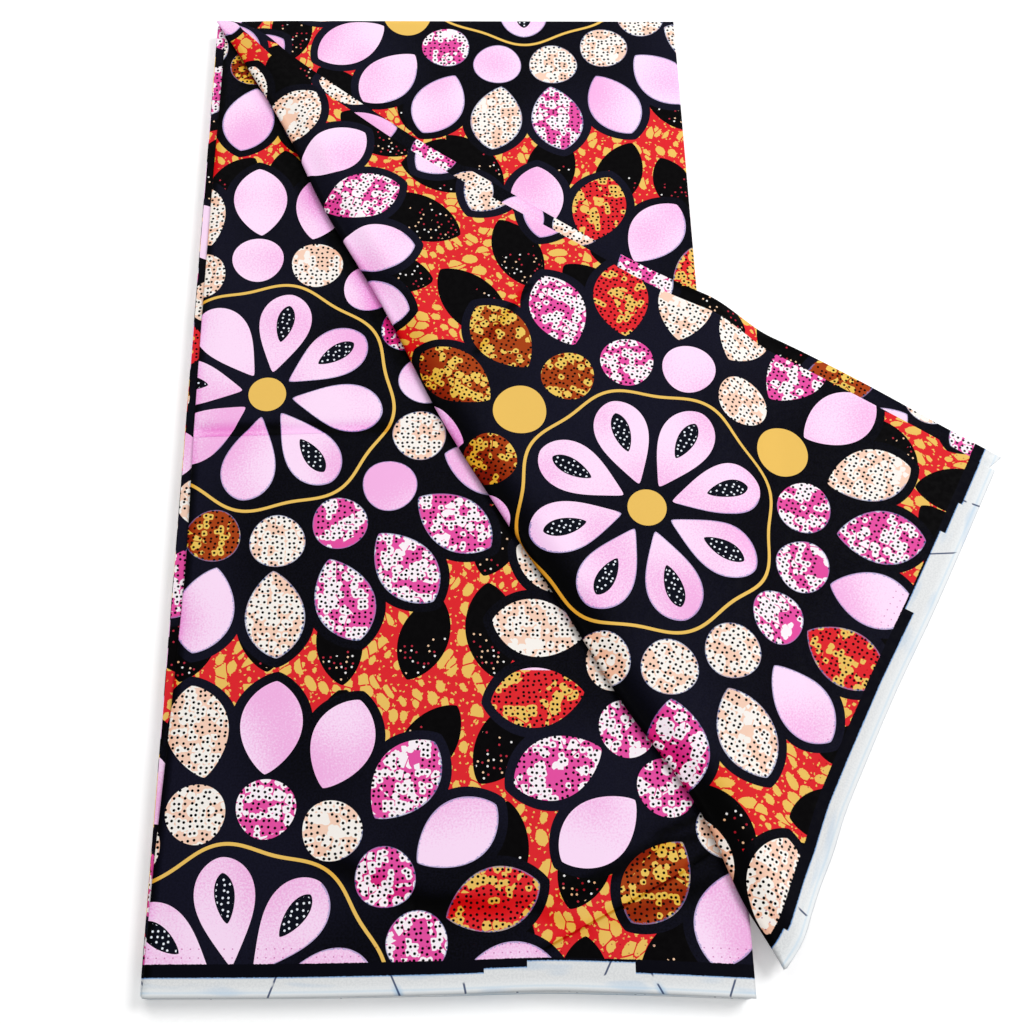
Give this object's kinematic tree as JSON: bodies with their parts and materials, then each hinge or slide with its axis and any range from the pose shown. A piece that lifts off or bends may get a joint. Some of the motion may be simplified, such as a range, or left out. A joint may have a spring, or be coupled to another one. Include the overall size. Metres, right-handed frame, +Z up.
{
  "type": "folded wax-print cotton cloth",
  "caption": "Length of wax-print cotton folded into a long flat strip, its top panel turned back over a diagonal fold so the loose end fans out and lies on the table.",
  "frame": {"origin": "on the surface that the cloth lies on, under the middle of its outline", "axes": "+X across the folded strip towards the side where the turned-back flap fans out, +Y along the strip from the end with the white selvedges to the end with the folded middle of the cloth, +Z up"},
  "size_m": [0.4564, 0.584, 0.0205],
  "materials": {
    "wax_print": "smooth plain-weave cotton with a soft wax glaze, printed in black navy, pink, magenta, red, yellow and peach, with a white selvedge"
  },
  "bodies": {
    "root": {"folded_stack": "wax_print", "second_panel": "wax_print", "under_sheet": "wax_print", "over_sheet": "wax_print"}
  },
  "joints": []
}
